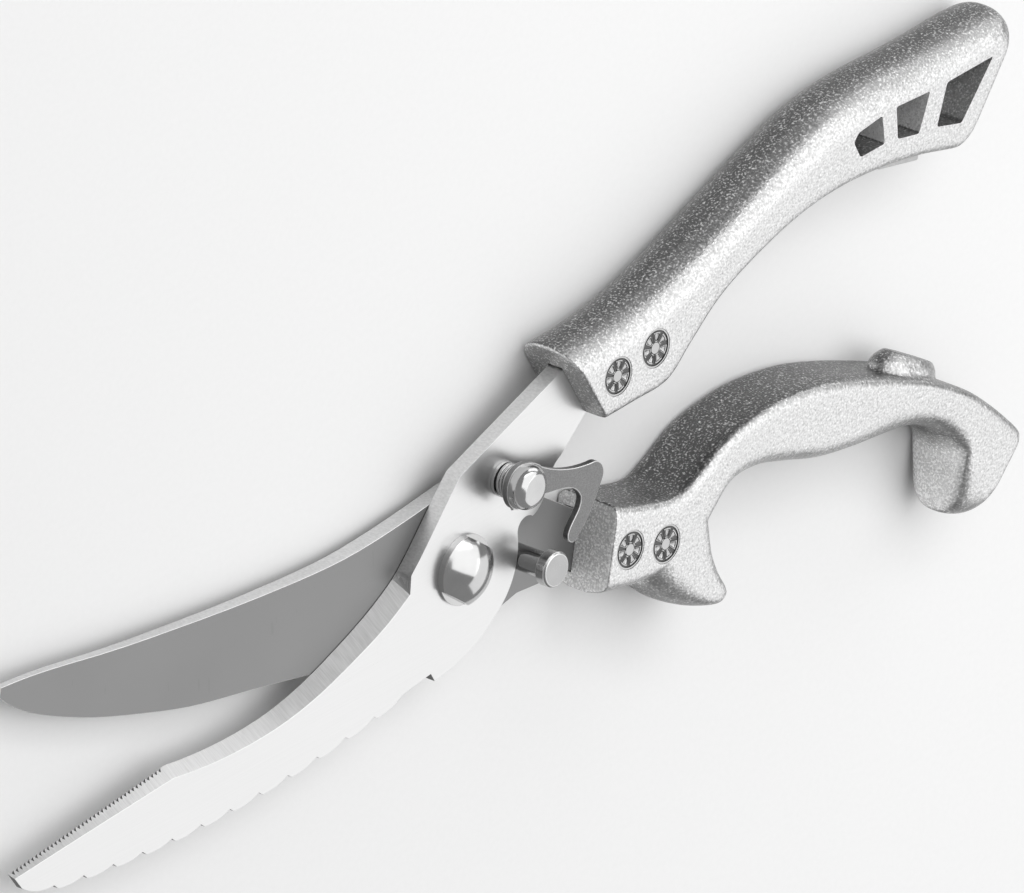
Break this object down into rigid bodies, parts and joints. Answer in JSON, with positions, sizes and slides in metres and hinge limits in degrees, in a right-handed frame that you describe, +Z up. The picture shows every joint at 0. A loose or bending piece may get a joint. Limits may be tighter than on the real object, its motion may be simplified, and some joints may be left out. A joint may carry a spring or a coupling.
{
  "type": "poultry shears",
  "caption": "Spring-opened poultry shears with curved blades, cast handles, a finger hook and a swinging latch that hooks a pin to hold them shut.",
  "frame": {"origin": "on the pivot's axis, at the pivot nut's flat underside, which rests on the table with the handles", "axes": "+Z up along the pivot towards the bolt head; +X from the pivot towards the handles; blade tips at -X; +Y towards the upper handle"},
  "size_m": [0.2581, 0.0937, 0.0165],
  "materials": {
    "blade_steel": "satin ground stainless steel",
    "cast_metal": "bead-blasted cast metal",
    "polished_steel": "polished",
    "rivet_steel": "satin, stamped relief",
    "latch_steel": "matt stamped sheet with bright edges",
    "spring_steel": "drawn wire",
    "washer_nylon": "plain",
    "stop_plastic": "plain"
  },
  "bodies": {
    "front_half": {"front_blade": "blade_steel", "upper_handle": "cast_metal", "upper_stop_pad": "stop_plastic", "pivot_bolt": "polished_steel", "pivot_nut": "polished_steel", "pivot_washer": "washer_nylon", "opening_spring": "spring_steel", "latch_stud": "polished_steel", "latch_collar": "polished_steel", "latch_spring": "spring_steel", "upper_rivet_front": "rivet_steel", "upper_cap_front": "rivet_steel", "upper_rivet_back": "rivet_steel", "upper_cap_back": "rivet_steel"},
    "rear_half": {"rear_blade": "blade_steel", "lower_handle": "cast_metal", "catch_pin": "polished_steel", "lower_rivet_front": "rivet_steel", "lower_rivet_back": "rivet_steel", "lower_cap_front": "rivet_steel", "lower_cap_back": "rivet_steel"},
    "latch": {"latch_lever": "latch_steel"}
  },
  "joints": [
    {"name": "blade_pivot", "type": "hinge", "parent": "front_half", "child": "rear_half", "pos_m": [0, 0, 0], "axis": [0, 0, 1], "range_deg": [0, 19.5], "stiffness_Nm_per_rad": 0.25, "springref_deg": -20.05},
    {"name": "latch_swing", "type": "hinge", "parent": "front_half", "child": "latch", "pos_m": [0.0113, 0.013, 0.01285], "axis": [0, 0, 1], "range_deg": [-12.5, 0], "stiffness_Nm_per_rad": 0.006, "springref_deg": 17.19}
  ]
}
